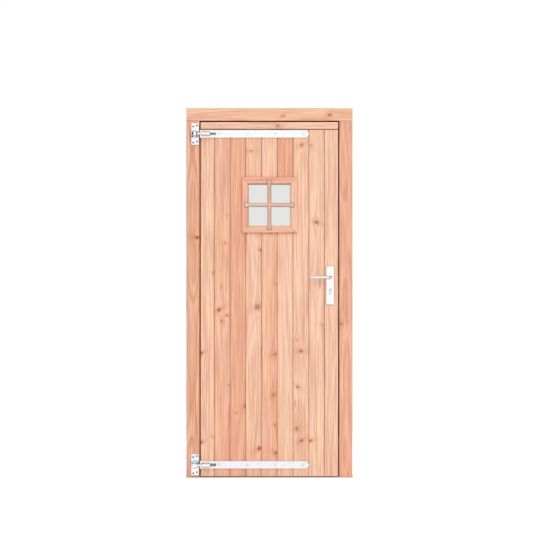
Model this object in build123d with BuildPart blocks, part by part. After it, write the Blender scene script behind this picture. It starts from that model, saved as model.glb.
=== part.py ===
"""Single boarded softwood door in its frame, with strap hinges, a small window and a lever handle."""
import os

from build123d import *

os.makedirs("parts", exist_ok=True)

# Frame timbers, in millimetres
frame_width = 900.0
frame_height = 2000.0
frame_depth = 70.0
post_width = 72.0
header_height = 69.0
timber_round = 3.0
post_end_chamfer = 2.0
stop_projection = 20.0
sill_height = 25.0
batten_chamfer = 2.0

# Leaf: boards on the front, framing on the back
side_gap = 6.5
head_gap = 8.0
floor_gap = 8.0
stop_gap = 5.0
leaf_proud = 6.0
board_thickness = 18.0
board_count = 9
edge_board_cover = 73.8
board_gap = 1.5
groove_chamfer = 3.0
tongue_length = 8.0
tongue_thickness = 6.0
tongue_clearance = 0.3
strip_height = 38.5
strip_gap = 3.5
framing_thickness = 28.0
framing_inset = 2.0
stile_width = 95.0
rail_height = 110.0
lock_rail_top = 930.0
brace_width = 85.0

# Window in the leaf
window_drop = 449.0
window_outer = 300.0
trim_width = 38.0
trim_thickness = 14.0
trim_chamfer = 7.0
trim_arris = 2.0
opening_set_back = 2.0
pane_thickness = 4.0
pane_margin = 20.0
bead_thickness = 16.0
bead_clearance = 1.0
mitre_gap = 0.3
bar_width = 21.0
bar_height = 8.0
bar_lap = 23.0
bar_web = 10.0
bar_chamfer = 4.0

# Hinges: hook plates on the post, straps and eye bolts on the leaf
hinge_inset = 70.0
hook_centre = 48.0
hook_plate_width = 40.0
hook_plate_height = 117.0
hook_plate_thickness = 5.0
hook_plate_round = 2.0
hook_screw_hole = 5.5
hook_screw_head = 9.5
hook_screw_side = 10.0
hook_screw_end = 12.0
hook_screw_stagger = 6.0
pin_diameter = 16.0
pin_clearance = 0.08
pin_beyond = 4.0
pin_chamfer = 1.5
lug_diameter = 38.0
lug_thickness = 6.0
eye_diameter = 34.0
eye_height = 26.0
eye_back_clearance = 3.0
eye_end_clearance = 0.3
rod_diameter = 12.0
rod_length = 114.0
strap_length = 590.0
strap_height = 41.0
strap_thickness = 5.0
strap_overhang = 4.0
strap_below_top = 2.0
strap_point = 14.0
strap_tip = 9.0
sleeve_diameter = 26.0
sleeve_start = 36.0
sleeve_length = 46.0
saddle_width = 14.0

# Handle and lock
backset = 43.0
spindle_height = 1083.0
spindle_side = 8.0
spindle_hole = 16.0
handle_plate_width = 45.0
handle_plate_height = 209.0
handle_plate_thickness = 9.0
handle_plate_above = 61.0
handle_plate_corner = 2.0
handle_plate_edge = 3.0
lever_diameter = 18.5
lever_reach = 111.0
lever_standoff = 46.0
lever_bend = 14.0
lever_gap = 0.5
lever_edge = 1.5
socket_depth = 22.0
cylinder_drop = 68.0
cylinder_diameter = 17.0
cylinder_web = 10.0
cylinder_height = 33.0
cylinder_proud = 1.5
cylinder_clearance = 0.4
case_depth = 70.0
case_height = 165.0
case_thickness = 15.0
case_above = 50.0
forend_height = 235.0
forend_width = 20.0
forend_thickness = 3.0
latch_height = 20.0
latch_width = 12.0
latch_proud = 1.5
strike_width = 24.0
strike_height = 170.0
strike_thickness = 2.0
strike_above = 45.0
strike_pocket = 14.0
strike_margin = 4.0

# Planes of the frame and leaf, front to back along +Y
frame_front = -frame_depth / 2
frame_back = frame_depth / 2
leaf_front = frame_front - leaf_proud
boards_back = leaf_front + board_thickness
leaf_back = boards_back + framing_thickness
stop_front = leaf_back + stop_gap
stop_depth = frame_back - stop_front
stop_middle = (stop_front + frame_back) / 2
framing_middle = (boards_back + leaf_back) / 2

# Extents of the doorway and leaf
post_height = frame_height - header_height
doorway_width = frame_width - 2 * post_width
doorway_middle = frame_width / 2
leaf_left = post_width + side_gap
leaf_right = frame_width - post_width - side_gap
leaf_bottom = floor_gap
leaf_top = post_height - head_gap
leaf_width = leaf_right - leaf_left
strip_bottom = leaf_top - strip_height
boards_top = strip_bottom - strip_gap
framing_left = leaf_left + framing_inset
framing_right = leaf_right - framing_inset
framing_bottom = leaf_bottom + framing_inset
framing_top = leaf_top - framing_inset
bay_left = framing_left + stile_width
bay_right = framing_right - stile_width
bay_width = bay_right - bay_left
bay_middle = (bay_left + bay_right) / 2

# Hinge line, and the heights of the two hinges
eye_radius = eye_diameter / 2
pin_depth = frame_front - hook_plate_thickness - eye_back_clearance - eye_radius
bottom_hinge = hinge_inset
top_hinge = boards_top - strap_below_top - strap_height / 2

# Handle position
spindle_x = leaf_right - backset
cylinder_z = spindle_height - cylinder_drop
forend_edge = framing_right
lock_middle = framing_middle

# Window position
window_x = doorway_middle
window_z = leaf_top - window_drop
window_inner = window_outer - 2 * trim_width
board_opening = window_inner + 2 * opening_set_back
pane_size = window_inner + 2 * pane_margin
pane_back = boards_back + pane_thickness


def save(piece, name):
    """Label one piece and write its STEP file."""
    piece.label = name
    export_step(piece, f"parts/{name}.step")


def span_box(x_range, y_range, z_range, mode=Mode.ADD):
    """Add or cut a box between pairs of limits."""
    middle = [(low + high) / 2 for low, high in (x_range, y_range, z_range)]
    size = [high - low for low, high in (x_range, y_range, z_range)]
    with Locations(tuple(middle)):
        Box(*size, mode=mode)


def cylinder_outline(clearance):
    """Draw the profile of the lock cylinder, larger by a clearance."""
    web_drop = cylinder_height - cylinder_diameter / 2 - cylinder_web / 2
    with Locations((spindle_x, cylinder_z)):
        Circle(cylinder_diameter / 2 + clearance)
    with Locations((spindle_x, cylinder_z - web_drop / 2)):
        Rectangle(cylinder_web + 2 * clearance, web_drop)
    with Locations((spindle_x, cylinder_z - web_drop)):
        Circle(cylinder_web / 2 + clearance)


def cut_lock_holes(y_range):
    """Cut the holes of the spindle and the cylinder between two depths."""
    with BuildSketch(Plane.XZ.offset(-y_range[1])) as holes:
        with Locations((spindle_x, spindle_height)):
            Circle(spindle_hole / 2)
        cylinder_outline(cylinder_clearance)
    extrude(holes.sketch, amount=y_range[1] - y_range[0], mode=Mode.SUBTRACT)


# Posts, with the strike let into the latch post
with BuildPart() as hinge_post:
    with BuildSketch():
        with Locations((post_width / 2, 0)):
            RectangleRounded(post_width, frame_depth, timber_round)
    extrude(amount=post_height)
    chamfer(hinge_post.faces().sort_by(Axis.Z)[-1].edges(), post_end_chamfer)
save(hinge_post.part, "hinge_post")

latch_face = frame_width - post_width
strike_y = (lock_middle - strike_width / 2, lock_middle + strike_width / 2)
strike_z = (spindle_height + strike_above - strike_height, spindle_height + strike_above)
latch_y = (lock_middle - latch_width / 2, lock_middle + latch_width / 2)
latch_heights = (spindle_height, cylinder_z)
with BuildPart() as latch_post:
    with BuildSketch():
        with Locations((frame_width - post_width / 2, 0)):
            RectangleRounded(post_width, frame_depth, timber_round)
    extrude(amount=post_height)
    chamfer(latch_post.faces().sort_by(Axis.Z)[-1].edges(), post_end_chamfer)
    span_box((latch_face, latch_face + strike_thickness), strike_y, strike_z, Mode.SUBTRACT)
    for height in latch_heights:
        pocket_z = (height - latch_height / 2 - strike_margin, height + latch_height / 2 + strike_margin)
        pocket_y = (latch_y[0] - strike_margin, latch_y[1] + strike_margin)
        span_box((latch_face, latch_face + strike_pocket), pocket_y, pocket_z, Mode.SUBTRACT)
save(latch_post.part, "latch_post")

with BuildPart() as strike_plate:
    span_box((latch_face, latch_face + strike_thickness), strike_y, strike_z)
    for height in latch_heights:
        pocket_z = (height - latch_height / 2 - strike_margin, height + latch_height / 2 + strike_margin)
        pocket_y = (latch_y[0] - strike_margin, latch_y[1] + strike_margin)
        span_box((latch_face, latch_face + strike_thickness), pocket_y, pocket_z, Mode.SUBTRACT)
save(strike_plate.part, "strike_plate")

# Header over the posts
with BuildPart() as header:
    with BuildSketch(Plane.YZ):
        with Locations((0, frame_height - header_height / 2)):
            RectangleRounded(frame_depth, header_height, timber_round)
    extrude(amount=frame_width)
save(header.part, "header")

# Stop battens and sill behind the leaf
with BuildPart() as head_stop:
    with Locations((doorway_middle, stop_middle, post_height - stop_projection / 2)):
        Box(doorway_width, stop_depth, stop_projection)
    chamfer(head_stop.edges().filter_by(Axis.X).group_by(Axis.Z)[0], batten_chamfer)
save(head_stop.part, "head_stop")

with BuildPart() as sill:
    with Locations((doorway_middle, stop_middle, sill_height / 2)):
        Box(doorway_width, stop_depth, sill_height)
    chamfer(sill.edges().filter_by(Axis.X).group_by(Axis.Z)[-1], batten_chamfer)
save(sill.part, "sill")

stop_bottom = sill_height
stop_top = post_height - stop_projection
with BuildPart() as hinge_stop:
    span_box((post_width, post_width + stop_projection), (stop_front, frame_back), (stop_bottom, stop_top))
    chamfer(hinge_stop.edges().filter_by(Axis.Z).group_by(Axis.X)[-1], batten_chamfer)
save(hinge_stop.part, "hinge_stop")

with BuildPart() as latch_stop:
    span_box((latch_face - stop_projection, latch_face), (stop_front, frame_back), (stop_bottom, stop_top))
    chamfer(latch_stop.edges().filter_by(Axis.Z).group_by(Axis.X)[0], batten_chamfer)
save(latch_stop.part, "latch_stop")

# Boards of the leaf, tongued and grooved, with a V-groove at each joint
board_cover = (leaf_width - 2 * edge_board_cover) / (board_count - 2)
tongue_middle = (leaf_front + groove_chamfer + boards_back) / 2
for index in range(board_count):
    left = leaf_left if index == 0 else leaf_left + edge_board_cover + (index - 1) * board_cover
    right = left + (edge_board_cover if index in (0, board_count - 1) else board_cover)
    left += 0 if index == 0 else board_gap / 2
    right -= 0 if index == board_count - 1 else board_gap / 2
    meets_window = right > window_x - board_opening / 2 and left < window_x + board_opening / 2
    under_trim = left > window_x - window_outer / 2 and right < window_x + window_outer / 2
    cut_width = 2 * window_outer if under_trim else board_opening
    with BuildPart() as board:
        with BuildSketch(Plane.XY.offset(leaf_bottom)):
            with Locations(((left + right) / 2, (leaf_front + boards_back) / 2)):
                outline = Rectangle(right - left, board_thickness)
            chamfer(outline.vertices().group_by(Axis.Y)[0], groove_chamfer)
            if index < board_count - 1:
                with Locations((right + tongue_length / 2, tongue_middle)):
                    Rectangle(tongue_length, tongue_thickness)
            if index > 0:
                groove_length = tongue_length - board_gap + tongue_clearance
                with Locations((left + groove_length / 2, tongue_middle)):
                    Rectangle(groove_length, tongue_thickness + 2 * tongue_clearance, mode=Mode.SUBTRACT)
        extrude(amount=boards_top - leaf_bottom)
        if meets_window:
            with Locations((window_x, (leaf_front + boards_back) / 2, window_z)):
                Box(cut_width, board_thickness, board_opening, mode=Mode.SUBTRACT)
        if left < spindle_x < right:
            cut_lock_holes((leaf_front, boards_back))
    save(board.part, f"board_{index + 1}")

with BuildPart() as top_strip:
    span_box((leaf_left, leaf_right), (leaf_front, boards_back), (strip_bottom, leaf_top))
    front_edges = top_strip.edges().filter_by(Axis.X).group_by(Axis.Y)[0]
    chamfer(front_edges, groove_chamfer)
save(top_strip.part, "top_strip")

# Framing on the back of the leaf
framing_y = (boards_back, leaf_back)
framing_z = (framing_bottom, framing_top)
with BuildPart() as hinge_stile:
    span_box((framing_left, bay_left), framing_y, framing_z)
save(hinge_stile.part, "hinge_stile")

case_z = (spindle_height + case_above - case_height, spindle_height + case_above)
case_y = (lock_middle - case_thickness / 2, lock_middle + case_thickness / 2)
case_x = (forend_edge - case_depth, forend_edge - forend_thickness)
forend_x = (forend_edge - forend_thickness, forend_edge)
forend_y = (lock_middle - forend_width / 2, lock_middle + forend_width / 2)
forend_middle = spindle_height + case_above - case_height / 2
forend_z = (forend_middle - forend_height / 2, forend_middle + forend_height / 2)
with BuildPart() as latch_stile:
    span_box((bay_right, framing_right), framing_y, framing_z)
    span_box(case_x, case_y, case_z, Mode.SUBTRACT)
    span_box(forend_x, forend_y, forend_z, Mode.SUBTRACT)
    cut_lock_holes(framing_y)
save(latch_stile.part, "latch_stile")

with BuildPart() as top_rail:
    span_box((bay_left, bay_right), framing_y, (framing_top - rail_height, framing_top))
save(top_rail.part, "top_rail")

with BuildPart() as lock_rail:
    span_box((bay_left, bay_right), framing_y, (lock_rail_top - rail_height, lock_rail_top))
save(lock_rail.part, "lock_rail")

with BuildPart() as bottom_rail:
    span_box((bay_left, bay_right), framing_y, (framing_bottom, framing_bottom + rail_height))
save(bottom_rail.part, "bottom_rail")

# Brace rises from the hinge side and is cut to fit its bay
brace_bottom = framing_bottom + rail_height
brace_top = lock_rail_top - rail_height
brace_rise = brace_top - brace_bottom
with BuildPart() as brace:
    with BuildSketch(Plane.XZ.offset(-leaf_back)):
        with BuildLine():
            Polyline(
                (bay_left, brace_bottom),
                (bay_left + brace_width, brace_bottom),
                (bay_right, brace_top - brace_width),
                (bay_right, brace_top),
                (bay_right - brace_width, brace_top),
                (bay_left, brace_bottom + brace_width),
                close=True,
            )
        make_face()
    extrude(amount=framing_thickness)
save(brace.part, "brace")

# Window: mitred trim on the front, pane, beads on the back
outer_half = window_outer / 2
trim_middle = leaf_front - trim_thickness / 2
corners = [
    (-outer_half, outer_half),
    (outer_half, outer_half),
    (outer_half, -outer_half),
    (-outer_half, -outer_half),
]
for side, name in enumerate(("top", "right", "bottom", "left")):
    with BuildPart() as trim:
        with Locations((window_x, trim_middle, window_z)):
            Box(window_outer, trim_thickness, window_outer)
            Box(window_inner, trim_thickness, window_inner, mode=Mode.SUBTRACT)
        chamfer(trim.faces().sort_by(Axis.Y)[0].inner_wires().edges(), trim_chamfer)
        chamfer(trim.faces().sort_by(Axis.Y)[0].outer_wire().edges(), trim_arris)
        with BuildSketch(Plane.XZ.offset(-leaf_front)):
            with Locations((window_x, window_z)):
                Polygon((0, 0), corners[side], corners[(side + 1) % len(corners)], align=None)
        extrude(amount=trim_thickness, mode=Mode.INTERSECT)
    save(trim.part, f"window_trim_{name}")

with BuildPart() as window_pane:
    with Locations((window_x, (boards_back + pane_back) / 2, window_z)):
        Box(pane_size, pane_thickness, pane_size)
save(window_pane.part, "window_pane")

rebate = pane_size + 2 * bead_clearance
with BuildPart() as window_beads:
    with Locations((window_x, boards_back + bead_thickness / 2, window_z)):
        Box(window_outer, bead_thickness, window_outer)
        Box(window_inner, bead_thickness, window_inner, mode=Mode.SUBTRACT)
    back_face = window_beads.faces().sort_by(Axis.Y)[-1]
    chamfer(back_face.inner_wires().edges(), trim_chamfer)
    with Locations((window_x, (boards_back + pane_back) / 2, window_z)):
        Box(rebate, pane_thickness, rebate, mode=Mode.SUBTRACT)
    for turn in (45, -45):
        with Locations(Location((window_x, boards_back + bead_thickness / 2, window_z), (0, turn, 0))):
            Box(2 * window_outer, bead_thickness, mitre_gap, mode=Mode.SUBTRACT)
save(window_beads.part, "window_beads")

# Cross of bars, lapped onto the trim and reaching back to the pane
trim_front = leaf_front - trim_thickness
bar_length = window_inner + 2 * bar_lap
with BuildPart() as window_bars:
    with Locations((window_x, trim_front - bar_height / 2, window_z)):
        Box(bar_width, bar_height, bar_length)
        Box(bar_length, bar_height, bar_width)
    bar_face = window_bars.faces().sort_by(Axis.Y)[0]
    chamfer(bar_face.edges(), bar_chamfer)
    with Locations((window_x, (trim_front + boards_back) / 2, window_z)):
        Box(bar_web, boards_back - trim_front, window_inner)
        Box(window_inner, boards_back - trim_front, bar_web)
save(window_bars.part, "window_bars")


def hinge_hook(hinge_z, pin_way):
    """Plate, lug and pin that carry one eye, with the pin pointing up (1) or down (-1)."""
    plate_front = frame_front - hook_plate_thickness
    lug_near = hinge_z - pin_way * (eye_height / 2 + eye_end_clearance)
    lug_far = lug_near - pin_way * lug_thickness
    pin_end = hinge_z + pin_way * (eye_height / 2 + pin_beyond)
    with BuildPart() as hook:
        with BuildSketch(Plane.XZ.offset(-frame_front)):
            with Locations((hook_centre, hinge_z)):
                RectangleRounded(hook_plate_width, hook_plate_height, hook_plate_round)
        extrude(amount=hook_plate_thickness)
        across = hook_plate_width / 2 - hook_screw_side
        far_row = hook_plate_height / 2 - hook_screw_end
        near_row = far_row - hook_screw_stagger
        screw_places = [(-across, near_row), (across, far_row), (-across, -far_row), (across, -near_row)]
        with Locations(Plane((hook_centre, plate_front, hinge_z), x_dir=(1, 0, 0), z_dir=(0, -1, 0))):
            with Locations(*screw_places):
                CounterSinkHole(hook_screw_hole / 2, hook_screw_head / 2, hook_plate_thickness)
        with BuildSketch(Plane.XY.offset(min(lug_near, lug_far))):
            with Locations((hook_centre, pin_depth)):
                Circle(lug_diameter / 2)
            with Locations((hook_centre, (pin_depth + plate_front) / 2)):
                Rectangle(lug_diameter, plate_front - pin_depth)
        extrude(amount=lug_thickness)
        with BuildSketch(Plane.XY.offset(min(lug_near, pin_end))):
            with Locations((hook_centre, pin_depth)):
                Circle(pin_diameter / 2)
        extrude(amount=abs(pin_end - lug_near))
        tip = hook.edges().filter_by(GeomType.CIRCLE).filter_by_position(
            Axis.Z, pin_end - pin_chamfer, pin_end + pin_chamfer
        )
        chamfer(tip, pin_chamfer)
    return hook.part


def eye_bolt(hinge_z):
    """Eye round the pin, with the rod that runs through the sleeve of the strap."""
    with BuildPart() as bolt:
        with Locations((hook_centre, pin_depth, hinge_z)):
            Cylinder(eye_radius, eye_height)
        with BuildSketch(Plane.YZ.offset(hook_centre)):
            with Locations((pin_depth, hinge_z)):
                Circle(rod_diameter / 2)
        extrude(amount=rod_length)
        with Locations((hook_centre, pin_depth, hinge_z)):
            Cylinder(pin_diameter / 2 + pin_clearance, eye_height, mode=Mode.SUBTRACT)
    return bolt.part


def hinge_strap(hinge_z):
    """Flat strap with a blunt point, and the sleeve that holds the eye bolt."""
    start = leaf_left - strap_overhang
    end = start + strap_length
    strap_front = leaf_front - strap_thickness
    sleeve_left = hook_centre + sleeve_start
    half_height = strap_height / 2
    with BuildPart() as strap:
        with BuildSketch(Plane.XZ.offset(-leaf_front)):
            with BuildLine():
                Polyline(
                    (start, hinge_z - half_height),
                    (end - strap_point, hinge_z - half_height),
                    (end, hinge_z - strap_tip / 2),
                    (end, hinge_z + strap_tip / 2),
                    (end - strap_point, hinge_z + half_height),
                    (start, hinge_z + half_height),
                    close=True,
                )
            make_face()
        extrude(amount=strap_thickness)
        with BuildSketch(Plane.YZ.offset(sleeve_left)):
            with Locations((pin_depth, hinge_z)):
                Circle(sleeve_diameter / 2)
            with Locations(((pin_depth + strap_front) / 2, hinge_z)):
                Rectangle(strap_front - pin_depth, saddle_width)
            with Locations((pin_depth, hinge_z)):
                Circle(rod_diameter / 2, mode=Mode.SUBTRACT)
        extrude(amount=sleeve_length)
    return strap.part


save(hinge_hook(top_hinge, 1), "top_hook")
save(hinge_hook(bottom_hinge, -1), "bottom_hook")
save(eye_bolt(top_hinge), "top_eye_bolt")
save(eye_bolt(bottom_hinge), "bottom_eye_bolt")
save(hinge_strap(top_hinge), "top_strap")
save(hinge_strap(bottom_hinge), "bottom_strap")


def handle_plate(face_y, outward):
    """Long plate of the handle on one face of the leaf, facing out along Y (-1 or 1)."""
    middle = spindle_height + handle_plate_above - handle_plate_height / 2
    far_y = face_y + outward * handle_plate_thickness
    with BuildPart() as plate:
        with BuildSketch(Plane.XZ.offset(-max(face_y, far_y))):
            with Locations((spindle_x, middle)):
                RectangleRounded(handle_plate_width, handle_plate_height, handle_plate_corner)
        extrude(amount=handle_plate_thickness)
        outer = plate.faces().sort_by(Axis.Y)[0 if outward < 0 else -1]
        fillet(outer.edges(), handle_plate_edge)
        cut_lock_holes((min(face_y, far_y), max(face_y, far_y)))
    return plate.part


save(handle_plate(leaf_front, -1), "front_plate")
save(handle_plate(leaf_back, 1), "back_plate")

# Lock in the latch edge, with its bolts drawn back, and the profile cylinder through it
with BuildPart() as mortise_lock:
    span_box(case_x, case_y, case_z)
    span_box(forend_x, forend_y, forend_z)
    for height in latch_heights:
        bolt_z = (height - latch_height / 2, height + latch_height / 2)
        span_box((forend_edge - forend_thickness, forend_edge + latch_proud), latch_y, bolt_z)
    cut_lock_holes(case_y)
save(mortise_lock.part, "mortise_lock")

cylinder_front = leaf_front - handle_plate_thickness - cylinder_proud
cylinder_back = leaf_back + handle_plate_thickness + cylinder_proud
with BuildPart() as lock_cylinder:
    with BuildSketch(Plane.XZ.offset(-cylinder_back)):
        cylinder_outline(0)
    extrude(amount=cylinder_back - cylinder_front)
save(lock_cylinder.part, "lock_cylinder")

# Levers bent from round bar, joined by the square spindle
front_neck = leaf_front - handle_plate_thickness - lever_gap
back_neck = leaf_back + handle_plate_thickness + lever_gap
spindle_end = back_neck + socket_depth


def lever_bar(neck_y, outward):
    """Bend one lever: a neck out from the leaf, then a bar toward the hinges."""
    bar_y = neck_y + outward * lever_standoff
    with BuildLine() as path:
        FilletPolyline(
            (spindle_x, neck_y, spindle_height),
            (spindle_x, bar_y, spindle_height),
            (spindle_x - lever_reach, bar_y, spindle_height),
            radius=lever_bend,
        )
    with BuildSketch(Plane((spindle_x, neck_y, spindle_height), z_dir=(0, outward, 0))) as section:
        Circle(lever_diameter / 2)
    sweep(section.sketch, path=path.line)


with BuildPart() as front_lever:
    lever_bar(front_neck, -1)
    chamfer(front_lever.faces().sort_by(Axis.X)[0].edges(), lever_edge)
    half_side = spindle_side / 2
    spindle_x_range = (spindle_x - half_side, spindle_x + half_side)
    spindle_z_range = (spindle_height - half_side, spindle_height + half_side)
    span_box(spindle_x_range, (front_neck, spindle_end), spindle_z_range)
save(front_lever.part, "front_lever")

with BuildPart() as back_lever:
    lever_bar(back_neck, 1)
    chamfer(back_lever.faces().sort_by(Axis.X)[0].edges(), lever_edge)
    span_box(spindle_x_range, (back_neck, spindle_end), spindle_z_range, Mode.SUBTRACT)
save(back_lever.part, "back_lever")
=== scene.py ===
"""Looks of the single boarded door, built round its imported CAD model."""
import math

import bmesh
import bpy
from mathutils import Matrix, Vector

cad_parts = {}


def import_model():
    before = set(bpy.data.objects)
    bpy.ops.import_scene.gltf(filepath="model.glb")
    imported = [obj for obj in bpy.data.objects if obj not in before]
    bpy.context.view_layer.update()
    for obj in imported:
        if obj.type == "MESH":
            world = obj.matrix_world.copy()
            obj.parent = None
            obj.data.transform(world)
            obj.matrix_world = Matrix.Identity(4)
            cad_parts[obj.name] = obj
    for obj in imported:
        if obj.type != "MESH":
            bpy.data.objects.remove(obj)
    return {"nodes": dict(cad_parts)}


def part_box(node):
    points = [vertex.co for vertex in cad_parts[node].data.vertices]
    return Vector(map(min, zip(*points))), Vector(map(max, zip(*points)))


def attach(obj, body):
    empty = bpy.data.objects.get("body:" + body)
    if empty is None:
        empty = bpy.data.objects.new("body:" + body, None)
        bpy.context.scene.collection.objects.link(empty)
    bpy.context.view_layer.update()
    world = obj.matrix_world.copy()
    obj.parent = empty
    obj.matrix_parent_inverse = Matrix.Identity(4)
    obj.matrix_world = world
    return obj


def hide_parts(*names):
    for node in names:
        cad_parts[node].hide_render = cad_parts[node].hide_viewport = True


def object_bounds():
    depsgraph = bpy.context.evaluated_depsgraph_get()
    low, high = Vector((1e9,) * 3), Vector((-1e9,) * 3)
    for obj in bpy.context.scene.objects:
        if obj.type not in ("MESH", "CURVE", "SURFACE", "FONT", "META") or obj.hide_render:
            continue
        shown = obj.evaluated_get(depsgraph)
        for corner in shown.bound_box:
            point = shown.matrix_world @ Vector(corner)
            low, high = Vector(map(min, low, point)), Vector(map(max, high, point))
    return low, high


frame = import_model()
cad_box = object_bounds()
nodes = frame["nodes"]
mm = 0.001

# Faces and centres of the CAD pieces that the added pieces sit on, in metres
leaf_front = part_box("top_strip")[0].y
leaf_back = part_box("top_rail")[1].y
trim_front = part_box("window_trim_top")[0].y
boards_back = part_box("top_strip")[1].y
post_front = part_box("hinge_post")[0].y
hinge_plate = 5 * mm
strap_front = leaf_front - hinge_plate
hook_front = post_front - hinge_plate
plate_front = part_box("front_plate")[0].y
plate_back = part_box("back_plate")[1].y
cylinder_front, cylinder_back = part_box("lock_cylinder")
lock_low, lock_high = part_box("mortise_lock")
latch_proud = 1.5 * mm
lock_edge = lock_high.x - latch_proud
strike_low, strike_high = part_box("strike_plate")
lock_middle = (strike_low.y + strike_high.y) / 2
window_low, window_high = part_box("window_pane")
window_x = (window_low.x + window_high.x) / 2
window_z = (window_low.z + window_high.z) / 2
eye_low, eye_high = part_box("top_eye_bolt")
eye_radius = (eye_high.y - eye_low.y) / 2
pin_x = eye_low.x + eye_radius
pin_y = eye_low.y + eye_radius
hinge_heights = {
    "top": (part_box("top_strap")[0].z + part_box("top_strap")[1].z) / 2,
    "bottom": (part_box("bottom_strap")[0].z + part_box("bottom_strap")[1].z) / 2,
}
spindle_x = (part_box("front_plate")[0].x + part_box("front_plate")[1].x) / 2
spindle_z = (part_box("front_lever")[0].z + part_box("front_lever")[1].z) / 2
cylinder_round = 8.5 * mm
cylinder_z = cylinder_back.z - cylinder_round


class Net:
    """Adds nodes to one tree and links them."""

    def __init__(self, tree):
        self.tree = tree

    def set(self, socket, value):
        if isinstance(value, bpy.types.NodeSocket):
            self.tree.links.new(value, socket)
        elif value is not None:
            socket.default_value = value

    def node(self, kind, *values, **settings):
        made = self.tree.nodes.new("ShaderNode" + kind)
        for key, value in settings.items():
            setattr(made, key, value)
        for socket, value in zip(made.inputs, values):
            self.set(socket, value)
        return made

    def math(self, operation, *values):
        return self.node("Math", *values, operation=operation).outputs[0]

    def ramp(self, value, low, high, start=0.0, end=1.0):
        made = self.node("MapRange", value, low, high, start, end, interpolation_type="SMOOTHSTEP")
        return made.outputs[0]

    def noise(self, x, y, z, detail=2.0):
        place = self.node("CombineXYZ", x, y, z).outputs[0]
        made = self.node("TexNoise")
        self.set(made.inputs["Vector"], place)
        self.set(made.inputs["Scale"], 1.0)
        self.set(made.inputs["Detail"], detail)
        return made.outputs["Fac"]

    def stretched(self, along, across, depth, seed, scales, detail=2.0):
        """Noise in the wood's own directions, with a scale per metre in each."""
        x = self.math("MULTIPLY_ADD", along, scales[0], seed)
        y = self.math("MULTIPLY_ADD", across, scales[1], seed)
        z = self.math("MULTIPLY", depth, scales[2])
        return self.noise(x, y, z, detail)

    def moved(self, value, noise, reach):
        """A value that noise moves both ways, by half the reach at most."""
        return self.math("MULTIPLY_ADD", self.math("SUBTRACT", noise, 0.5), reach, value)

    def blend(self, factor, first, second, mode="MIX"):
        made = self.node("Mix", data_type="RGBA", blend_type=mode)
        self.set(made.inputs[0], factor)
        self.set(made.inputs[6], first)
        self.set(made.inputs[7], second)
        return made.outputs[2]

    def group(self, tree, **values):
        made = self.node("Group", node_tree=tree)
        for key, value in values.items():
            self.set(made.inputs[key], value)
        return made.outputs


def new_group(name, inputs, outputs):
    """Start a node group with number sockets, and return its net, its inputs and its outputs."""
    tree = bpy.data.node_groups.new(name, "ShaderNodeTree")
    for socket in inputs:
        tree.interface.new_socket(socket, in_out="INPUT", socket_type="NodeSocketFloat")
    for socket in outputs:
        tree.interface.new_socket(socket, in_out="OUTPUT", socket_type="NodeSocketFloat")
    net = Net(tree)
    return net, tree.nodes.new("NodeGroupInput").outputs, tree.nodes.new("NodeGroupOutput").inputs


def ring_group():
    """Growth rings round a wandering pith: how much latewood shows, and the distance to the pith."""
    names = ["along", "across", "depth", "seed", "pith_across", "pith_depth", "spacing", "bulge"]
    net, given, result = new_group("fir_rings", names, ["late", "radius"])
    along, across, depth, seed = (given[name] for name in names[:4])
    drift_reach, ripple_reach, sway_reach = 70 * mm, 5 * mm, 90 * mm
    uneven_scale, uneven_years = 70.0, 1.6
    sway_seed = net.math("ADD", seed, 31.7)
    drift = net.stretched(along, across, depth, seed, (0.9, 2.0, 2.0), 1.0)
    sway = net.stretched(along, across, depth, sway_seed, (1.3, 3.0, 3.0), 1.0)
    ripple = net.stretched(along, across, depth, seed, (7.0, 34.0, 34.0), 2.0)
    shift = net.moved(given["bulge"], drift, drift_reach)
    shift = net.moved(shift, ripple, ripple_reach)
    side = net.math("ADD", net.math("SUBTRACT", across, given["pith_across"]), shift)
    deep = net.moved(net.math("SUBTRACT", depth, given["pith_depth"]), sway, sway_reach)
    squares = [net.math("MULTIPLY", length, length) for length in (side, deep)]
    radius = net.math("SQRT", net.math("ADD", *squares))
    uneven = net.noise(net.math("MULTIPLY_ADD", radius, uneven_scale, seed), seed, 0.0, 1.0)
    years = net.math("DIVIDE", radius, given["spacing"])
    phase = net.math("MULTIPLY_ADD", uneven, uneven_years, years)
    part = net.math("FRACT", phase)
    # Latewood comes slowly through a year and ends at once, and some years have less of it
    late = net.math("MULTIPLY", net.ramp(part, 0.25, 0.8), net.ramp(part, 0.88, 1.0, 1.0, 0.0))
    year = net.node("TexWhiteNoise", noise_dimensions="1D")
    net.set(year.inputs["W"], net.math("ADD", net.math("FLOOR", phase), seed))
    strength = net.math("MULTIPLY_ADD", year.outputs["Value"], 0.65, 0.35)
    net.set(result["late"], net.math("MULTIPLY", late, strength))
    net.set(result["radius"], radius)
    return net.tree


def fibre_group():
    """Fine streaks, wider bands, fibres and broad patches along the grain."""
    names = ["along", "across", "depth", "seed"]
    net, given, result = new_group("fir_fibre", names, ["streak", "band", "fibre", "patch"])
    along, across, depth, seed = (given[name] for name in names)
    other = net.math("ADD", seed, 57.3)
    net.set(result["streak"], net.stretched(along, across, depth, seed, (5.0, 230.0, 60.0), 1.0))
    net.set(result["band"], net.stretched(along, across, depth, other, (2.4, 52.0, 40.0), 1.0))
    net.set(result["fibre"], net.stretched(along, across, depth, seed, (11.0, 800.0, 800.0), 2.0))
    net.set(result["patch"], net.stretched(along, across, depth, seed, (4.0, 14.0, 9.0), 1.0))
    return net.tree


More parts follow.
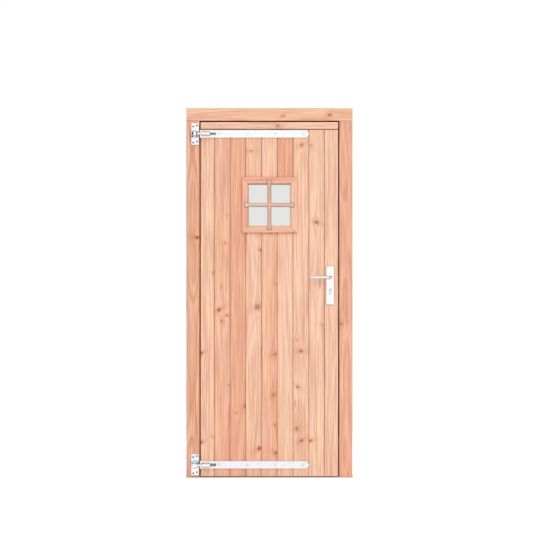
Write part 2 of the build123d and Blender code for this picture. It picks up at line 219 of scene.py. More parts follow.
def knot_group():
    """One knot: how it bends the grain, its dark core and its halo."""
    names = ["along", "across", "knot_along", "knot_across", "size", "stretch", "seed"]
    net, given, result = new_group("fir_knot", names, ["bulge", "core", "halo"])
    # How much the outline wavers, where the core ends, how bend and halo fade, and how a halo's wings tilt
    waver = 0.7
    core_start, core_end = 0.25, 1.15
    bend_fade, bend_soft = -0.12, 0.4
    wing_fade, side_fade = -0.42, -0.10
    tilt_turn, tilt_most = 7.3, 0.55
    rough = net.stretched(given["along"], given["across"], 0.0, given["seed"], (160.0, 160.0, 1.0), 1.0)
    u = net.math("DIVIDE", net.math("SUBTRACT", given["across"], given["knot_across"]), given["size"])
    long_size = net.math("MULTIPLY", given["size"], given["stretch"])
    v = net.math("DIVIDE", net.math("SUBTRACT", given["along"], given["knot_along"]), long_size)
    u2 = net.math("MULTIPLY", u, u)
    v2 = net.math("MULTIPLY", v, v)
    distance = net.math("SQRT", net.math("ADD", u2, v2))
    distance = net.moved(distance, rough, waver)
    fade = net.math("EXPONENT", net.math("MULTIPLY", v2, bend_fade))
    push = net.math("DIVIDE", u, net.math("ADD", u2, bend_soft))
    inward = net.math("MULTIPLY", given["size"], -1.0)
    net.set(result["bulge"], net.math("MULTIPLY", net.math("MULTIPLY", push, fade), inward))
    net.set(result["core"], net.ramp(distance, core_start, core_end, 1.0, 0.0))
    tilt = net.math("SINE", net.math("MULTIPLY", given["seed"], tilt_turn))
    tilt = net.math("MULTIPLY", tilt, tilt_most)
    wing = net.math("MULTIPLY_ADD", u, tilt, v)
    spread = net.math("MULTIPLY", net.math("MULTIPLY", wing, wing), wing_fade)
    spread = net.math("MULTIPLY_ADD", u2, side_fade, spread)
    ragged = net.ramp(rough, 0.25, 0.75, 0.55, 1.25)
    net.set(result["halo"], net.math("MULTIPLY", net.math("EXPONENT", spread), ragged))
    return net.tree


rings, fibres, knot = ring_group(), fibre_group(), knot_group()

# Fir colours, linear: pale sapwood to salmon heartwood, what marks them, and tints of painted shade
pale_fir = (0.930, 0.605, 0.447)
salmon_fir = (0.832, 0.406, 0.277)
early_gain = (1.03, 1.07, 1.09)
late_gain = (0.88, 0.77, 0.71)
streak_light = (1.055, 1.08, 1.09, 1.0)
streak_dark = (0.86, 0.80, 0.77, 1.0)
band_light = (1.01, 1.02, 1.02, 1.0)
band_dark = (0.96, 0.93, 0.91, 1.0)
pink_tint = (1.0, 0.97, 0.985, 1.0)
tan_tint = (1.0, 1.015, 0.965, 1.0)
heart_tint = (0.96, 0.85, 0.80, 1.0)
bar_side_shade_tint = (0.56, 0.50, 0.47, 1.0)
crevice_shade_tint = (0.36, 0.12, 0.06, 1.0)
halo_colour = (0.68, 0.255, 0.135, 1.0)
knot_colour = (0.42, 0.118, 0.048, 1.0)
white = (1.0, 1.0, 1.0, 1.0)

# Outer bands of a post and the header: the places across in mm where they start and are full, and their tint
post_edge = (-24, -12, (0.93, 1.05, 1.16, 1.0))
header_edge = (1969, 1980, (1.02, 1.08, 1.02, 1.0))
edge_waver = 12 * mm

# Nooks where shade is painted in: their reach in mm, and how open they are where that shade is full and
# where it ends
crevice = (10.0, 0.1, 0.73)
gap = (45.0, 0.1, 0.38)

# Marks of a knot against its listed size, the blur in mm of a heart's border, and the depths in mm between
# which the painted shade on a side fades out again
knot_spread = 1.3
heart_blur = 6
side_shade_end = (11, 15)

# Heights of the fibres in fir, of the marks in metal and of the ripple in glass
fir_relief, metal_relief, glass_relief = 0.4 * mm, 0.04 * mm, 0.5 * mm

# Broad patches of a metal's mottle and ripples of the glass, per metre
broad_scale, ripple_scale = 45.0, 9.0

# Turns of the grain from level
runs = {"up": math.radians(90), "level": 0.0}


def new_material(name):
    """Start a material, and return it with its net and its shader."""
    material = bpy.data.materials.new(name)
    material.use_nodes = True
    net = Net(material.node_tree)
    return material, net, material.node_tree.nodes["Principled BSDF"]


def fir(
    name, run, tone, seed, pith, spacing, contrast, heart=0.0, edge=None,
    knots=(), side_shade=None, wash=(1.0, 1.0, 1.0), nooks=(),
):
    """Planed fir: run is the grain's way, tone 0 pale to 1 salmon, pith its across and depth in mm.

    Optional are a heart radius in mm, an outer band, knots, a front face with the two depths in mm behind it
    between which painted shade darkens the wood, a wash over the colour, and the nooks where shade is
    painted in."""
    material, net, shader = new_material(name)
    turn = runs.get(run, run)
    ways = {
        "along": (math.cos(turn), 0.0, math.sin(turn)),
        "across": (-math.sin(turn), 0.0, math.cos(turn)),
        "depth": (0.0, 1.0, 0.0),
    }
    place = net.node("TexCoord").outputs["Object"]
    spots = {}
    for key, way in ways.items():
        spots[key] = net.node("VectorMath", place, way, operation="DOT_PRODUCT").outputs["Value"]
    bulge = core = halo = 0.0
    for number, (x, z, size, stretch, depth) in enumerate(knots):
        knot_along = (x * ways["along"][0] + z * ways["along"][2]) * mm
        knot_across = (x * ways["across"][0] + z * ways["across"][2]) * mm
        mark = net.group(
            knot, along=spots["along"], across=spots["across"], knot_along=knot_along,
            knot_across=knot_across, size=size * knot_spread * mm, stretch=stretch, seed=seed + number,
        )
        bulge = net.math("ADD", bulge, mark["bulge"])
        core = net.math("MAXIMUM", core, net.math("MULTIPLY", mark["core"], depth))
        halo = net.math("MAXIMUM", halo, net.math("MULTIPLY", mark["halo"], depth))
    grain = net.group(
        rings, seed=seed, pith_across=pith[0] * mm, pith_depth=pith[1] * mm,
        spacing=spacing * mm, bulge=bulge, **spots,
    )
    bent = dict(spots, across=net.math("ADD", spots["across"], bulge)) if knots else spots
    lines = net.group(fibres, seed=seed, **bent)
    base = [(a + (b - a) * tone) * gain for a, b, gain in zip(pale_fir, salmon_fir, wash)]
    early = [min(1.0, a * b) for a, b in zip(base, early_gain)] + [1.0]
    late = [a * b for a, b in zip(base, late_gain)] + [1.0]
    colour = net.blend(net.math("MULTIPLY", grain["late"], contrast), early, late)
    streak = net.blend(net.ramp(lines["streak"], 0.34, 0.68), streak_light, streak_dark)
    band = net.blend(net.ramp(lines["band"], 0.34, 0.68), band_light, band_dark)
    hue = net.blend(net.ramp(lines["patch"], 0.36, 0.64), pink_tint, tan_tint)
    for tint in (streak, band, hue):
        colour = net.blend(1.0, colour, tint, "MULTIPLY")
    if heart:
        near = net.ramp(grain["radius"], (heart - heart_blur) * mm, (heart + heart_blur) * mm, 1.0, 0.0)
        colour = net.blend(near, colour, heart_tint, "MULTIPLY")
    if edge:
        start, full, tint = edge
        wave = net.moved(spots["across"], lines["patch"], edge_waver)
        colour = net.blend(net.ramp(wave, start * mm, full * mm), colour, tint, "MULTIPLY")
    # Painted shade on faces that lie behind the front face, such as a bar's sides
    if side_shade:
        face, start, full = side_shade
        behind = net.math("SUBTRACT", spots["depth"], face)
        painted_shade = net.ramp(behind, start * mm, full * mm)
        ending = net.ramp(behind, side_shade_end[0] * mm, side_shade_end[1] * mm, 1.0, 0.0)
        painted_shade = net.math("MULTIPLY", painted_shade, ending)
        colour = net.blend(painted_shade, colour, bar_side_shade_tint, "MULTIPLY")
    if knots:
        colour = net.blend(net.math("MULTIPLY", halo, 0.7), colour, halo_colour)
        colour = net.blend(core, colour, knot_colour)
    # Painted shade: the colour darkens where ambient occlusion finds the wood closed in
    for reach, low, high in nooks:
        nook = net.node("AmbientOcclusion", samples=4)
        net.set(nook.inputs["Distance"], reach * mm)
        painted_shade = net.ramp(nook.outputs["AO"], low, high, 1.0, 0.0)
        colour = net.blend(painted_shade, colour, crevice_shade_tint, "MULTIPLY")
    # Latewood stands a little proud and is smoother
    height = net.math("MULTIPLY_ADD", lines["fibre"], 0.5, net.math("MULTIPLY", grain["late"], 0.6))
    gloss = net.math("MULTIPLY_ADD", lines["fibre"], 0.22, 0.44)
    gloss = net.math("MULTIPLY_ADD", grain["late"], -0.08, gloss)
    bump = net.node("Bump")
    net.set(bump.inputs["Strength"], 0.4)
    net.set(bump.inputs["Distance"], fir_relief)
    net.set(bump.inputs["Height"], height)
    net.set(shader.inputs["Base Color"], colour)
    net.set(shader.inputs["Roughness"], gloss)
    net.set(shader.inputs["Normal"], bump.outputs[0])
    net.set(shader.inputs["Specular IOR Level"], 0.12)
    return material


def metal(name, colour, dark, rough, scales):
    """Bare metal with a brushed or rolled mottle: scales are its marks per metre along X, Y and Z."""
    material, net, shader = new_material(name)
    place = net.node("SeparateXYZ", net.node("TexCoord").outputs["Object"]).outputs
    parts = [net.math("MULTIPLY", place[index], scale) for index, scale in enumerate(scales)]
    marks = net.noise(*parts, 3.0)
    broad = net.noise(*[net.math("MULTIPLY", place[index], broad_scale) for index in range(3)], 2.0)
    net.set(shader.inputs["Metallic"], 1.0)
    tone = net.math("MULTIPLY", net.ramp(marks, 0.35, 0.75), net.ramp(broad, 0.3, 0.7, 0.3, 1.0))
    net.set(shader.inputs["Base Color"], net.blend(tone, colour + (1.0,), dark + (1.0,)))
    rough = net.math("MULTIPLY_ADD", marks, 0.05, rough)
    net.set(shader.inputs["Roughness"], net.math("MULTIPLY_ADD", broad, 0.06, rough))
    bump = net.node("Bump")
    net.set(bump.inputs["Strength"], 0.25)
    net.set(bump.inputs["Distance"], metal_relief)
    net.set(bump.inputs["Height"], marks)
    net.set(shader.inputs["Normal"], bump.outputs[0])
    return material


def glass():
    """Clear sheet glass with a slight grey tint and a faint ripple."""
    material, net, shader = new_material("sheet_glass")
    place = net.node("SeparateXYZ", net.node("TexCoord").outputs["Object"]).outputs
    ripple = net.noise(*[net.math("MULTIPLY", place[index], ripple_scale) for index in range(3)], 1.0)
    net.set(shader.inputs["Base Color"], (0.775, 0.77, 0.765, 1.0))
    net.set(shader.inputs["Roughness"], net.ramp(ripple, 0.3, 0.7, 0.02, 0.06))
    net.set(shader.inputs["Transmission Weight"], 1.0)
    net.set(shader.inputs["IOR"], 1.45)
    bump = net.node("Bump")
    net.set(bump.inputs["Strength"], 0.1)
    net.set(bump.inputs["Distance"], glass_relief)
    net.set(bump.inputs["Height"], ripple)
    net.set(shader.inputs["Normal"], bump.outputs[0])
    return material


zinc = metal("bright_zinc", (0.955, 0.965, 0.965), (0.90, 0.915, 0.92), 0.06, (60.0, 60.0, 60.0))
# A darker, cooler copy of the bright zinc: painted shade on the bottom strap
zinc_low_shade = metal("bright_zinc_low_shade", (0.90, 0.895, 0.94), (0.84, 0.84, 0.89), 0.07, (60.0, 60.0, 60.0))
zinc_sleeve = metal("drawn_zinc", (0.95, 0.96, 0.98), (0.88, 0.89, 0.92), 0.10, (160.0, 160.0, 160.0))
# A darker copy of the zinc: painted shade on the hooks' parts in front of their plates and on the rods' ends
zinc_shaded = metal("shaded_zinc", (0.52, 0.56, 0.62), (0.42, 0.46, 0.53), 0.12, (160.0, 160.0, 160.0))
satin = metal("satin_steel", (0.98, 0.97, 0.95), (0.94, 0.93, 0.91), 0.06, (900.0, 900.0, 25.0))
nickel = metal("dull_nickel", (0.84, 0.85, 0.845), (0.74, 0.75, 0.75), 0.14, (500.0, 500.0, 60.0))
# Near-black steel for the hook screws, and painted shade for the keyways
dark_screws_and_slot_shade = metal("dark_screw_steel_and_slot_shade", (0.06, 0.06, 0.065), (0.03, 0.03, 0.03), 0.40, (700.0, 700.0, 700.0))

# Knots in each piece: x and z in mm, size across, its share of that along the grain, darkness
knots_in = {
    "hinge_post": [(58, 1299, 12, 0.8, 0.95)],
    "latch_post": [(838, 831, 8, 0.7, 0.7)],
    "header": [(523, 1957, 6, 2.2, 0.5), (776, 1962, 6, 2.0, 0.8)],
    "top_strip": [(494, 1902, 8, 1.6, 0.55)],
    "board_1": [
        (147, 1107, 6, 1.2, 0.4), (85, 674, 7, 1.2, 0.8), (85, 191, 7, 1.0, 0.8), (144, 221, 5, 1.2, 0.45),
    ],
    "board_2": [
        (226, 1418, 6, 1.2, 0.2), (210, 1269, 7, 1.1, 0.5), (188, 1031, 4, 1.2, 0.3),
        (177, 907, 10, 1.0, 0.95), (220, 877, 8, 0.9, 0.6), (193, 847, 4, 2.6, 0.75),
        (231, 501, 6, 1.2, 0.4),
    ],
    "board_3": [(318, 388, 6, 2.2, 0.8), (275, 350, 12, 0.6, 0.2)],
    "board_4_upper": [(350, 1766, 11, 0.8, 0.42)],
    "board_4": [(403, 1231, 5, 1.2, 0.95), (386, 923, 15, 1.0, 0.7), (396, 158, 10, 1.0, 1.0)],
    "board_5": [
        (455, 1323, 8, 0.9, 0.55), (488, 1047, 6, 1.3, 0.35), (479, 666, 9, 0.8, 0.65),
        (473, 447, 8, 1.2, 0.6), (482, 287, 5, 1.1, 0.7), (484, 134, 8, 1.0, 0.85),
    ],
    "board_7": [
        (624, 1799, 11, 0.9, 0.6), (599, 745, 7, 1.2, 0.35), (621, 685, 10, 0.8, 0.8),
        (603, 491, 8, 1.0, 0.7), (590, 401, 6, 4.0, 0.35), (597, 265, 8, 1.5, 0.7),
        (623, 201, 8, 1.0, 0.85),
    ],
    "board_8": [
        (705, 1381, 11, 0.8, 0.8), (672, 1797, 9, 1.2, 0.42), (740, 826, 6, 1.2, 0.4),
        (672, 200, 8, 1.0, 0.8), (716, 1053, 14, 1.2, 0.12),
    ],
}

# The brace rises by the first and runs by the second, in mm
brace_turn = math.atan2(616, 465)

# Grain of each timber: way, tone, seed, pith across and depth in mm, ring spacing in mm and contrast, and
# where it has them, its heart and its outer band
timbers = {
    "hinge_post": ("up", 0.82, 1.3, (-30, 20), 11, 1.1, 0.0, post_edge),
    "latch_post": ("up", 0.71, 2.9, (-860, 15), 12, 0.75),
    "header": ("level", 0.49, 4.1, (1925, 40), 13, 0.65, 0.0, header_edge),
    "hinge_stop": ("up", 0.85, 5.2, (-70, 70), 6, 0.5),
    "latch_stop": ("up", 0.85, 6.6, (-800, 80), 6, 0.5),
    "head_stop": ("level", 0.85, 7.7, (1900, 90), 6, 0.5),
    "sill": ("level", 0.85, 8.4, (30, 90), 6, 0.5),
    "top_strip": ("level", 0.13, 9.8, (1840, 30), 11, 0.6),
    "board_1": ("up", 0.26, 11.2, (-330, 20), 11, 0.6),
    "board_2": ("up", 0.63, 12.7, (-20, 60), 12, 0.6),
    "board_3": ("up", 0.86, 14.1, (-560, 60), 10, 0.45),
    "board_4_upper": ("up", 0.38, 15.9, (-180, 35), 11, 0.65),
    "board_4": ("up", 0.15, 16.3, (-372, 55), 13, 0.65),
    "board_5_upper": ("up", 0.28, 17.5, (-700, 70), 12, 0.4),
    "board_5": ("up", 0.43, 18.8, (-474, -26), 12, 0.5, 26.0),
    "board_6_upper": ("up", 1.02, 19.4, (-545, 15), 13, 0.5),
    "board_6": ("up", 0.14, 20.1, (-900, 50), 10, 0.35),
    "board_7": ("up", 0.22, 21.7, (-620, 90), 14, 0.5),
    "board_8": ("up", 0.12, 22.9, (-1000, 45), 12, 0.75),
    "board_9": ("up", 0.14, 24.2, (-1100, 40), 12, 0.8),
    "hinge_stile": ("up", 0.4, 25.5, (-120, 60), 8, 0.5),
    "latch_stile": ("up", 0.3, 26.1, (-790, -70), 8, 0.5),
    "top_rail": ("level", 0.35, 27.6, (1870, 70), 8, 0.5),
    "lock_rail": ("level", 0.5, 28.3, (880, -60), 8, 0.5),
    "bottom_rail": ("level", 0.45, 29.9, (50, 60), 8, 0.5),
    "brace": (brace_turn, 0.3, 31.2, (120, 60), 8, 0.5),
    "window_trim_top": ("level", 0.82, 32.4, (1700, 10), 7, 0.45),
    "window_trim_right": ("up", 0.18, 33.8, (-700, 0), 7, 0.45),
    "window_trim_bottom": ("level", 0.60, 34.1, (1200, 10), 7, 0.5),
    "window_trim_left": ("up", 0.76, 35.7, (-150, 0), 7, 0.45),
    "bar_up": ("up", 0.55, 37.3, (-330, -20), 6, 0.45),
    "bar_level": ("level", 0.12, 38.6, (1600, -20), 6, 0.45),
    "bead_up": ("up", 0.5, 39.2, (-320, 20), 7, 0.5),
    "bead_level": ("level", 0.5, 40.4, (1300, 20), 7, 0.5),
}
# Bars stand out from the trim, and their sides get painted shade behind their front: its place, and the
# depths in mm where that starts and is full
bar_high = 8.0
bar_side_shade = {"bar": (trim_front - bar_high * mm, 0.8, 4.5)}
# The window's timber is greyer than the rest
washed = {"window": (0.985, 1.0, 1.02), "bar": (0.86, 0.94, 1.01)}
# Every timber but the bars gets painted shade in its crevices, and those beside the gaps round the leaf in
# the gaps too
gap_kinds = ("hinge", "latch", "header", "head")
painted_nooks = {"bar": (), **{kind: (crevice, gap) for kind in gap_kinds}}
wood = {}
for name, facts in timbers.items():
    kind = name.split("_")[0]
    wood[name] = fir(
        "fir_" + name, *facts, knots=knots_in.get(name, ()), side_shade=bar_side_shade.get(kind),
        wash=washed.get(kind, (1.0, 1.0, 1.0)), nooks=painted_nooks.get(kind, (crevice,)),
    )


def finish_with(node, *materials):
    """Give one CAD node its material, or several in slots."""
    slots = nodes[node].data.materials
    slots.clear()
    for material in materials:
        slots.append(material)


for name in timbers:
    if name in nodes:
        finish_with(name, wood[name])
for name in ("board_4", "board_5", "board_6"):
    upper = wood.get(name + "_upper")
    finish_with(name, wood[name], upper)
    for face in nodes[name].data.polygons:
        face.material_index = int(face.center.z > window_z)
finish_with("window_beads", wood["bead_up"], wood["bead_level"])
for face in nodes["window_beads"].data.polygons:
    face.material_index = int(abs(face.center.z - window_z) > abs(face.center.x - window_x))
# Lugs and sleeves stand out from their plates by more than this
plate_skin = 0.5 * mm
# The bottom strap and its bolts get the darker, cooler zinc copy, painted shade
strap_zinc = {"top": zinc, "bottom": zinc_low_shade}
for end, strap_metal in strap_zinc.items():
    # The parts of a hook in front of its plate get painted shade in the darker zinc
    finish_with(end + "_hook", zinc, zinc_shaded)
    for face in nodes[end + "_hook"].data.polygons:
        face.material_index = int(face.center.y < hook_front - plate_skin)
    finish_with(end + "_strap", strap_metal, zinc_sleeve)
    for face in nodes[end + "_strap"].data.polygons:
        face.material_index = int(face.center.y < strap_front - plate_skin)
for name in ("front_plate", "back_plate", "front_lever", "back_lever"):
    finish_with(name, satin)
for name in ("mortise_lock", "lock_cylinder", "strike_plate"):
    finish_with(name, nickel)
finish_with("window_pane", glass())
nodes["window_pane"].visible_shadow = False


def soften(node, width):
    """Ease the sharp edges of one CAD node by a width in mm."""
    weld = nodes[node].modifiers.new("weld", "WELD")
    weld.merge_threshold = 0.01 * mm
    ease = nodes[node].modifiers.new("ease", "BEVEL")
    ease.width = width * mm
    ease.segments = 2
    ease.limit_method = "ANGLE"
    ease.angle_limit = math.radians(30)
    ease.use_clamp_overlap = False


for side in ("top", "right", "bottom", "left"):
    soften("window_trim_" + side, width=1.2)
for name in ("top_strap", "bottom_strap"):
    soften(name, width=0.8)


def turned(bm, profile, place, steps=48, loop=False):
    """Turn a profile of (radius, height) in mm round the local Z axis of a placing matrix.

    A radius may be a function of the angle."""
    circles = []
    for radius, height in profile:
        if radius == 0:
            circles.append([bm.verts.new(place @ Vector((0, 0, height * mm)))])
            continue
        circle = []
        for step in range(steps):
            angle = 2 * math.pi * step / steps
            reach = (radius(angle) if callable(radius) else radius) * mm
            spot = Vector((reach * math.cos(angle), reach * math.sin(angle), height * mm))
            circle.append(bm.verts.new(place @ spot))
        circles.append(circle)
    pairs = list(zip(circles, circles[1:]))
    if loop:
        pairs.append((circles[-1], circles[0]))
    for low, high in pairs:
        for step in range(steps):
            following = (step + 1) % steps
            corners = [low[step % len(low)], low[following % len(low)]]
            corners += [high[following % len(high)], high[step % len(high)]]
            bm.faces.new(list(dict.fromkeys(corners)))


def facing(x, y, z, way):
    """A placing matrix at a point, with its local Z along a direction."""
    return Matrix.Translation((x, y, z)) @ Vector(way).to_track_quat("Z", "Y").to_matrix().to_4x4()


def piece(name, bm, material, body, sharp=40):
    """Make a mesh object of what was built, and let it ride on a CAD body."""
    bmesh.ops.recalc_face_normals(bm, faces=bm.faces)
    mesh = bpy.data.meshes.new(name)
    bm.to_mesh(mesh)
    bm.free()
    mesh.materials.append(material)
    mesh.shade_smooth()
    mesh.set_sharp_from_angle(angle=math.radians(sharp))
    made = bpy.data.objects.new(name, mesh)
    bpy.context.scene.collection.objects.link(made)
    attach(made, body)
    return made


# A driver recess: its lobes, their depth, and its size against the screw's head
lobes, lobe_depth, recess_share = 6, 0.16, 0.46


def star(size):
    """Radius of a driver recess at an angle."""
    return lambda angle: size * (1 + lobe_depth * math.cos(lobes * angle))


def screw_profile(head, crown):
    """Raised countersunk head with a six-lobed recess."""
    rim = head / 2
    recess = recess_share * rim
    return [
        (0, -0.4), (rim, -0.4), (rim, 0.0), (rim - 0.35, 0.3 * crown), (head / 3, 0.85 * crown),
        (star(recess * 1.08), crown), (star(recess), crown - 0.15), (star(recess * 0.92), 0.05), (0, 0.0),
    ]


def sunk_screw_profile(head, sink):
    """Countersunk head that sits down in its hole, with a six-lobed recess."""
    rim = head / 2
    recess = recess_share * rim
    return [
        (0, -4.8), (head * 0.28, -4.8), (head * 0.29, -2.6), (rim - 0.25, -sink - 0.15),
        (rim - 0.5, -sink), (star(recess), -sink), (star(recess * 0.9), -sink - 1.6), (0, -sink - 1.9),
    ]


def thread(outer, root, start, step, count):
    """Profile of a thread: its radii go out and in by steps along it, in mm."""
    return [(outer if turn % 2 else root, start + step * turn) for turn in range(1, count)]


front, back, to_left, to_right, up = (0, -1, 0), (0, 1, 0), (-1, 0, 0), (1, 0, 0), (0, 0, 1)

# Screws of the hook plates, sunk in their four holes: places in mm from the pin's middle
hook_screw = sunk_screw_profile(head=8.9, sink=0.5)
hook_screw_places = [(-10, 40.5), (10, 46.5), (-10, -46.5), (10, -40.5)]
for end, height in hinge_heights.items():
    bm = bmesh.new()
    for across, above in hook_screw_places:
        turned(bm, hook_screw, facing(pin_x + across * mm, hook_front, height + above * mm, front))
    piece(end + "_hook_screws", bm, dark_screws_and_slot_shade, "frame")

# Coach bolts through the straps, at places along X in mm: low domes in front, washers and nuts on the back
dome = [(0, -0.3), (7.5, -0.3), (7.8, 0.1), (7.6, 0.6), (6.6, 1.3), (4.8, 1.9), (2.6, 2.25), (0, 2.35)]
washer = [(4.2, 0.0), (9.4, 0.0), (9.8, 0.3), (9.8, 1.3), (9.4, 1.6), (4.2, 1.6)]
nut = [(4.1, 1.6), (7.3, 1.6), (7.5, 2.0), (7.5, 7.4), (6.7, 8.1), (4.1, 8.1)]
bolt_thread = thread(outer=3.95, root=3.45, start=0.2, step=0.6, count=17)
bolt_end = [(0, 0.2)] + bolt_thread + [(2.8, 10.2), (0, 10.2)]
bolt_places = (181, 331, 481, 631)
for end, height in hinge_heights.items():
    heads = bmesh.new()
    tails = bmesh.new()
    for x in bolt_places:
        turned(heads, dome, facing(x * mm, strap_front, height, front), steps=40)
        tail = facing(x * mm, leaf_back, height, back)
        turned(tails, washer, tail, steps=40, loop=True)
        turned(tails, nut, tail, steps=6, loop=True)
        turned(tails, bolt_end, tail, steps=24)
    piece(end + "_strap_bolt_heads", heads, strap_zinc[end], "leaf")
    piece(end + "_strap_bolt_nuts", tails, strap_zinc[end], "leaf", sharp=28)

# Eye bolts: a rounded forged eye, a neck that narrows to the rod, and the threaded end past the sleeve
eye_ring = [
    (8.1, -12.0), (9.0, -13.0), (14.0, -13.0), (15.7, -12.4), (16.7, -11.0), (17.0, -9.0),
    (17.0, 9.0), (16.7, 11.0), (15.7, 12.4), (14.0, 13.0), (9.0, 13.0), (8.1, 12.0),
]
neck = [
    (0, 14.5), (10.0, 14.5), (9.6, 17.5), (8.4, 21.0), (7.0, 25.0), (6.2, 29.0), (6.0, 33.0), (6.0, 80.0),
]
rod_thread = thread(outer=6.0, root=5.35, start=80.0, step=0.85, count=38)
rod_end = [(5.0, 113.0), (4.2, 114.0), (0, 114.0)]
dark_rod = pin_x + 60 * mm  # inside of the sleeve, past which the rod gets the darker zinc as painted shade
for end, height in hinge_heights.items():
    bm = bmesh.new()
    turned(bm, eye_ring, facing(pin_x, pin_y, height, up), loop=True)
    turned(bm, neck + rod_thread + rod_end, facing(pin_x, pin_y, height, to_right), steps=32)
    eye = piece(end + "_forged_eye", bm, zinc_sleeve, "leaf", sharp=50)
    eye.data.materials.append(zinc_shaded)
    for face in eye.data.polygons:
        face.material_index = int(face.center.x > dark_rod)
    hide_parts(end + "_eye_bolt")

# Window bars: rounded bars that swell at their ends, and the webs behind them down to the pane, in mm.
# The arch is a section, in shares of half the width and of the height. The end's shape lists places from its
# tip, each with its shares of both.
bar_half = 10.5
bar_end = 136.0
bar_meet = 5.0
web_half, web_reach = 5.0, 111.5
arch = [
    (-1.0, 0.0), (-0.97, 0.26), (-0.86, 0.53), (-0.66, 0.78), (-0.37, 0.95), (-0.12, 1.0),
    (0.12, 1.0), (0.37, 0.95), (0.66, 0.78), (0.86, 0.53), (0.97, 0.26), (1.0, 0.0),
]
end_shape = [
    (0.0, 0.5, 0.35), (1.2, 0.9, 0.65), (4.0, 1.25, 0.9), (9.0, 1.42, 1.0),
    (15.0, 1.4, 1.0), (20.0, 1.2, 1.0), (26.0, 1.04, 1.0), (36.0, 1.0, 1.0),
]


def bar(bm, sections, level):
    """One bar on the trim, through sections of place along it in mm, width and height."""
    loops = []
    for along, width, high in sections:
        loop = []
        for side, rise in arch:
            across, out = side * width * bar_half, rise * high * bar_high
            x, z = (along, across) if level else (across, along)
            loop.append(bm.verts.new((window_x + x * mm, trim_front - out * mm, window_z + z * mm)))
        loops.append(loop)
    for low, high in zip(loops, loops[1:]):
        for index in range(len(arch)):
            following = (index + 1) % len(arch)
            bm.faces.new((low[index], low[following], high[following], high[index]))
    bm.faces.new(loops[0])
    bm.faces.new(loops[-1])


def web(bm, half_x, half_z, clear):
    """Part of a bar between the trim's front and the pane, from which it stays clear by some mm."""
    reach = (boards_back - trim_front - clear * mm) / 2
    size = Matrix.Diagonal((2 * half_x * mm, 2 * reach, 2 * half_z * mm, 1.0))
    middle = Matrix.Translation((window_x, trim_front + reach, window_z))
    made = bmesh.ops.create_cube(bm, size=1.0, matrix=middle @ size)
    edges = list({edge for vert in made["verts"] for edge in vert.link_edges})
    bmesh.ops.bevel(bm, geom=edges, offset=0.8 * mm, segments=2, affect="EDGES", profile=0.5)


low_half = [(along - bar_end, width, high) for along, width, high in end_shape]
high_half = [(-along, width, high) for along, width, high in reversed(low_half)]
bm = bmesh.new()
bar(bm, low_half + high_half, level=False)
web(bm, web_half, web_reach, clear=0.4)
upright_bar = piece("upright_window_bar", bm, wood["bar_up"], "leaf", sharp=55)
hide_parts("window_bars")
bm = bmesh.new()
bar(bm, low_half + [(-bar_meet, 1.0, 1.0)], level=True)
bar(bm, [(bar_meet, 1.0, 1.0)] + high_half, level=True)
web(bm, web_reach, web_half, clear=1.0)
level_bar = piece("level_window_bar", bm, wood["bar_level"], "leaf", sharp=55)
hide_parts("window_bars")

# Collar of each lever on its plate
collar = [(9.6, 0.0), (11.8, 0.0), (11.8, 0.4), (11.5, 0.8), (11.0, 1.0), (10.0, 1.0), (9.6, 0.8)]
for name, y, way in (("front", plate_front, front), ("back", plate_back, back)):
    bm = bmesh.new()
    turned(bm, collar, facing(spindle_x, y, spindle_z, way), loop=True)
    piece(name + "_lever_collar", bm, satin, "leaf")


# Half the width and half the height of a keyway, in mm
keyway_half_wide, keyway_half_high = 1.1, 4.4


def slot_shape(angle):
    """Radius of the keyway's rounded outline at an angle."""
    across, along = math.cos(angle) / keyway_half_wide, math.sin(angle) / keyway_half_high
    return (abs(across) ** 4 + abs(along) ** 4) ** -0.25


def slot_rim(angle):
    """Radius of the keyway's chamfer at an angle."""
    return slot_shape(angle) + 0.2


# Cylinder plugs with their keyways, on both faces; a keyway is a dark sheet set in the plug's slot, painted
# shade
plug = [(slot_shape, -0.4), (6.4, -0.4), (6.4, 0.3), (6.1, 0.6), (slot_rim, 0.6), (slot_shape, 0.4)]
keyway = [(0, -0.35), (slot_shape, -0.35), (slot_shape, 0.05), (0, 0.05)]
for name, y, way in (("front", cylinder_front.y, front), ("back", cylinder_back.y, back)):
    place = facing(spindle_x, y, cylinder_z, way)
    bm = bmesh.new()
    turned(bm, plug, place, loop=True)
    piece(name + "_key_plug", bm, nickel, "leaf")
    bm = bmesh.new()
    turned(bm, keyway, place)
    piece(name + "_keyway", bm, dark_screws_and_slot_shade, "leaf")

# Screws of the back plate, the lock's edge and the strike, each set in from the ends
plate_inset, lock_inset, strike_inset = 11 * mm, 8 * mm, 10 * mm
plate_screw = screw_profile(head=8.0, crown=1.0)
lock_screw = screw_profile(head=7.5, crown=0.4)
bm = bmesh.new()
for z in (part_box("back_plate")[0].z + plate_inset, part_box("back_plate")[1].z - plate_inset):
    turned(bm, plate_screw, facing(spindle_x, plate_back, z, back))
piece("back_plate_screws", bm, nickel, "leaf")
bm = bmesh.new()
for z in (lock_low.z + lock_inset, lock_high.z - lock_inset):
    turned(bm, lock_screw, facing(lock_edge, lock_middle, z, to_right))
piece("lock_edge_screws", bm, zinc, "leaf")
bm = bmesh.new()
for z in (strike_low.z + strike_inset, strike_high.z - strike_inset):
    turned(bm, lock_screw, facing(strike_low.x, lock_middle, z, to_left))
piece("strike_screws", bm, zinc, "frame")


# Half the floor's side in metres, and its grey near the object and far off
floor_half = 30.0
floor_grey = (0.86, 0.86, 0.86, 1.0)
far_grey = (0.64, 0.64, 0.64, 1.0)


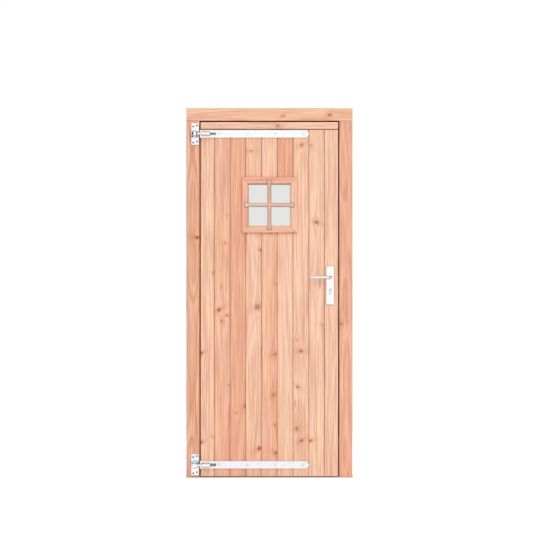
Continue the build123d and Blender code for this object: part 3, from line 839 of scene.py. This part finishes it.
def floor():
    """Floor, white to the camera, keeps the object's shadow; metal sees a painted reflection of it, darker
    close by.
    """
    mesh = bpy.data.meshes.new("floor")
    signs = [(-1, -1), (1, -1), (1, 1), (-1, 1)]
    mesh.from_pydata([(x * floor_half, y * floor_half, 0) for x, y in signs], [], [(0, 1, 2, 3)])
    made = bpy.data.objects.new("floor", mesh)
    bpy.context.scene.collection.objects.link(made)
    material, net, shader = new_material("white_floor")
    net.set(shader.inputs["Roughness"], 0.9)
    net.set(shader.inputs["Emission Color"], white)
    ray = net.node("LightPath").outputs
    place = net.node("SeparateXYZ", net.node("TexCoord").outputs["Object"]).outputs
    middle = (cad_box[0].x + cad_box[1].x) / 2
    # Metres away from the frame's own patch of floor
    aside = net.math("SUBTRACT", net.math("ABSOLUTE", net.math("SUBTRACT", place["X"], middle)), middle)
    ahead = net.math("SUBTRACT", net.math("ABSOLUTE", place["Y"]), -post_front)
    away = net.math("MAXIMUM", aside, ahead)
    seen = net.math("MAXIMUM", ray["Is Camera Ray"], ray["Is Transmission Ray"])
    net.set(shader.inputs["Base Color"], net.blend(net.ramp(away, 5.5, 7.0), floor_grey, far_grey))
    # To the camera: lifted round the object, where the shadow lies, and plain white farther away
    lift = net.ramp(away, -0.04, 0.05, 0.0, 0.5)
    net.set(shader.inputs["Emission Strength"], net.math("MULTIPLY", seen, lift))
    plain = net.node("Emission", white, 1.0).outputs[0]
    clear = net.math("MULTIPLY", seen, net.ramp(away, 0.8, 2.0))
    direct = net.node("MixShader", clear, shader.outputs[0], plain).outputs[0]
    # Painted reflection in metal: a painted shadow under the object, and grey where high pieces mirror the
    # floor close to it
    shade = net.ramp(away, 0.025, 0.105, 0.25, 1.0)
    near = net.math("MULTIPLY", net.ramp(ray["Ray Length"], 0.6, 1.2, 1.03, 0.3), shade)
    near = net.math("MAXIMUM", near, net.ramp(away, 0.8, 1.15))
    mirrored = net.node("Emission", white, near).outputs[0]
    both = net.node("MixShader", ray["Is Glossy Ray"], direct, mirrored).outputs[0]
    net.set(material.node_tree.nodes["Material Output"].inputs["Surface"], both)
    mesh.materials.append(material)


# How broad a lamp looks from the object
lamp_spread = math.radians(70)


def lamp(name, way, strength):
    """Broad soft light from far off, shining along a direction, that metal doesn't mirror."""
    data = bpy.data.lights.new(name, "SUN")
    data.energy = strength
    data.angle = lamp_spread
    made = bpy.data.objects.new(name, data)
    made.rotation_euler = Vector(way).to_track_quat("-Z", "Y").to_euler()
    made.visible_glossy = False
    made.visible_transmission = False
    bpy.context.scene.collection.objects.link(made)


# Strength of the world as a light
sky_light = 0.5


def world():
    """White to the camera and through glass; in metal, white in front and behind, dark at the sides."""
    made = bpy.data.worlds.new("studio")
    made.use_nodes = True
    bpy.context.scene.world = made
    net = Net(made.node_tree)
    sky = made.node_tree.nodes["Background"]
    ray = net.node("LightPath").outputs
    way = net.node("SeparateXYZ", net.node("TexCoord").outputs["Generated"]).outputs
    # How much a direction looks to the front or the back, and a little more where it looks up
    facing_way = net.math("MULTIPLY_ADD", way["Z"], 0.4, net.math("ABSOLUTE", way["Y"]))
    mirrored = net.ramp(facing_way, 0.5, 0.88, 0.06, 1.02)
    seen = net.math("MAXIMUM", ray["Is Camera Ray"], ray["Is Transmission Ray"])
    level = net.node("Mix", ray["Is Glossy Ray"], data_type="FLOAT")
    net.set(level.inputs[2], sky_light)
    net.set(level.inputs[3], mirrored)
    final = net.node("Mix", seen, data_type="FLOAT")
    net.set(final.inputs[2], level.outputs[0])
    net.set(final.inputs[3], 1.0)
    net.set(sky.inputs["Color"], white)
    net.set(sky.inputs["Strength"], final.outputs[0])


floor()
world()
lamp("key", way=(-0.14, 0.80, -0.52), strength=1.57)
lamp("back_key", way=(0.30, -0.80, -0.50), strength=1.3)

# Camera at the photo's view: level, square to the door
camera_place = (0.456, -6.035, 1.1203)
camera = bpy.data.cameras.new("camera")
camera.sensor_width = 36.0
camera.lens = 73.76
view = bpy.data.objects.new("camera", camera)
view.location = camera_place
view.rotation_euler = (math.radians(90), 0.0, 0.0)
bpy.context.scene.collection.objects.link(view)
bpy.context.scene.camera = view
bpy.context.scene.view_settings.view_transform = "Standard"
